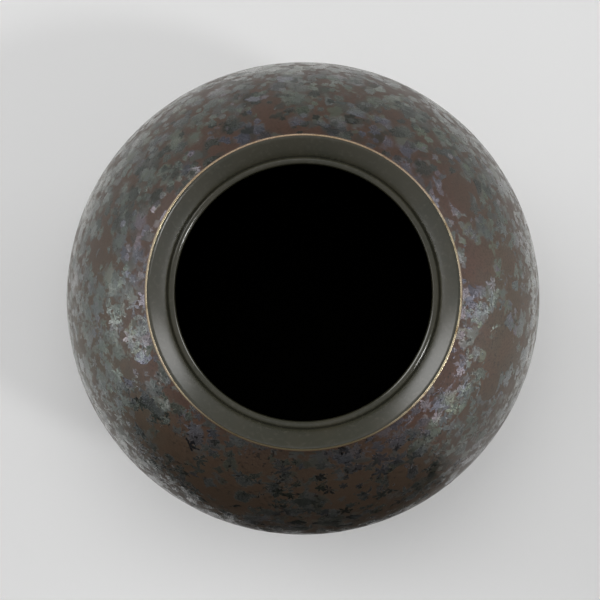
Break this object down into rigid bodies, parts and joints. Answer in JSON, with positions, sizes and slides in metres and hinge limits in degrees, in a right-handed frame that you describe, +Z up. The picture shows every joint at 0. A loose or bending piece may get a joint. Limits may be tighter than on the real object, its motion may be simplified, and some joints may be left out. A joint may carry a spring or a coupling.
{
  "type": "pottery vase",
  "caption": "Round stoneware flower vase with a short flared mouth, a beaded throat, crystalline glaze outside and a bare clay foot ring.",
  "frame": {"origin": "centre of the flat ring that the foot stands on", "axes": "+Z up along the vase's axis; X and Y are free because the vase is round"},
  "size_m": [0.25, 0.25, 0.238],
  "materials": {
    "fired_clay": "bare fired stoneware",
    "crystal_glaze": "satin brown with grey-green, slate and lavender crystal patches",
    "dark_glaze": "dark olive-grey satin",
    "broken_glaze": "thin golden tan line"
  },
  "bodies": {
    "root": {"foot_ring": "fired_clay", "base_disc": "fired_clay", "lower_bowl": "fired_clay", "shoulder": "fired_clay", "collar": "fired_clay", "outer_glaze": "crystal_glaze", "inner_glaze": "dark_glaze", "lip_line": "broken_glaze"}
  },
  "joints": []
}
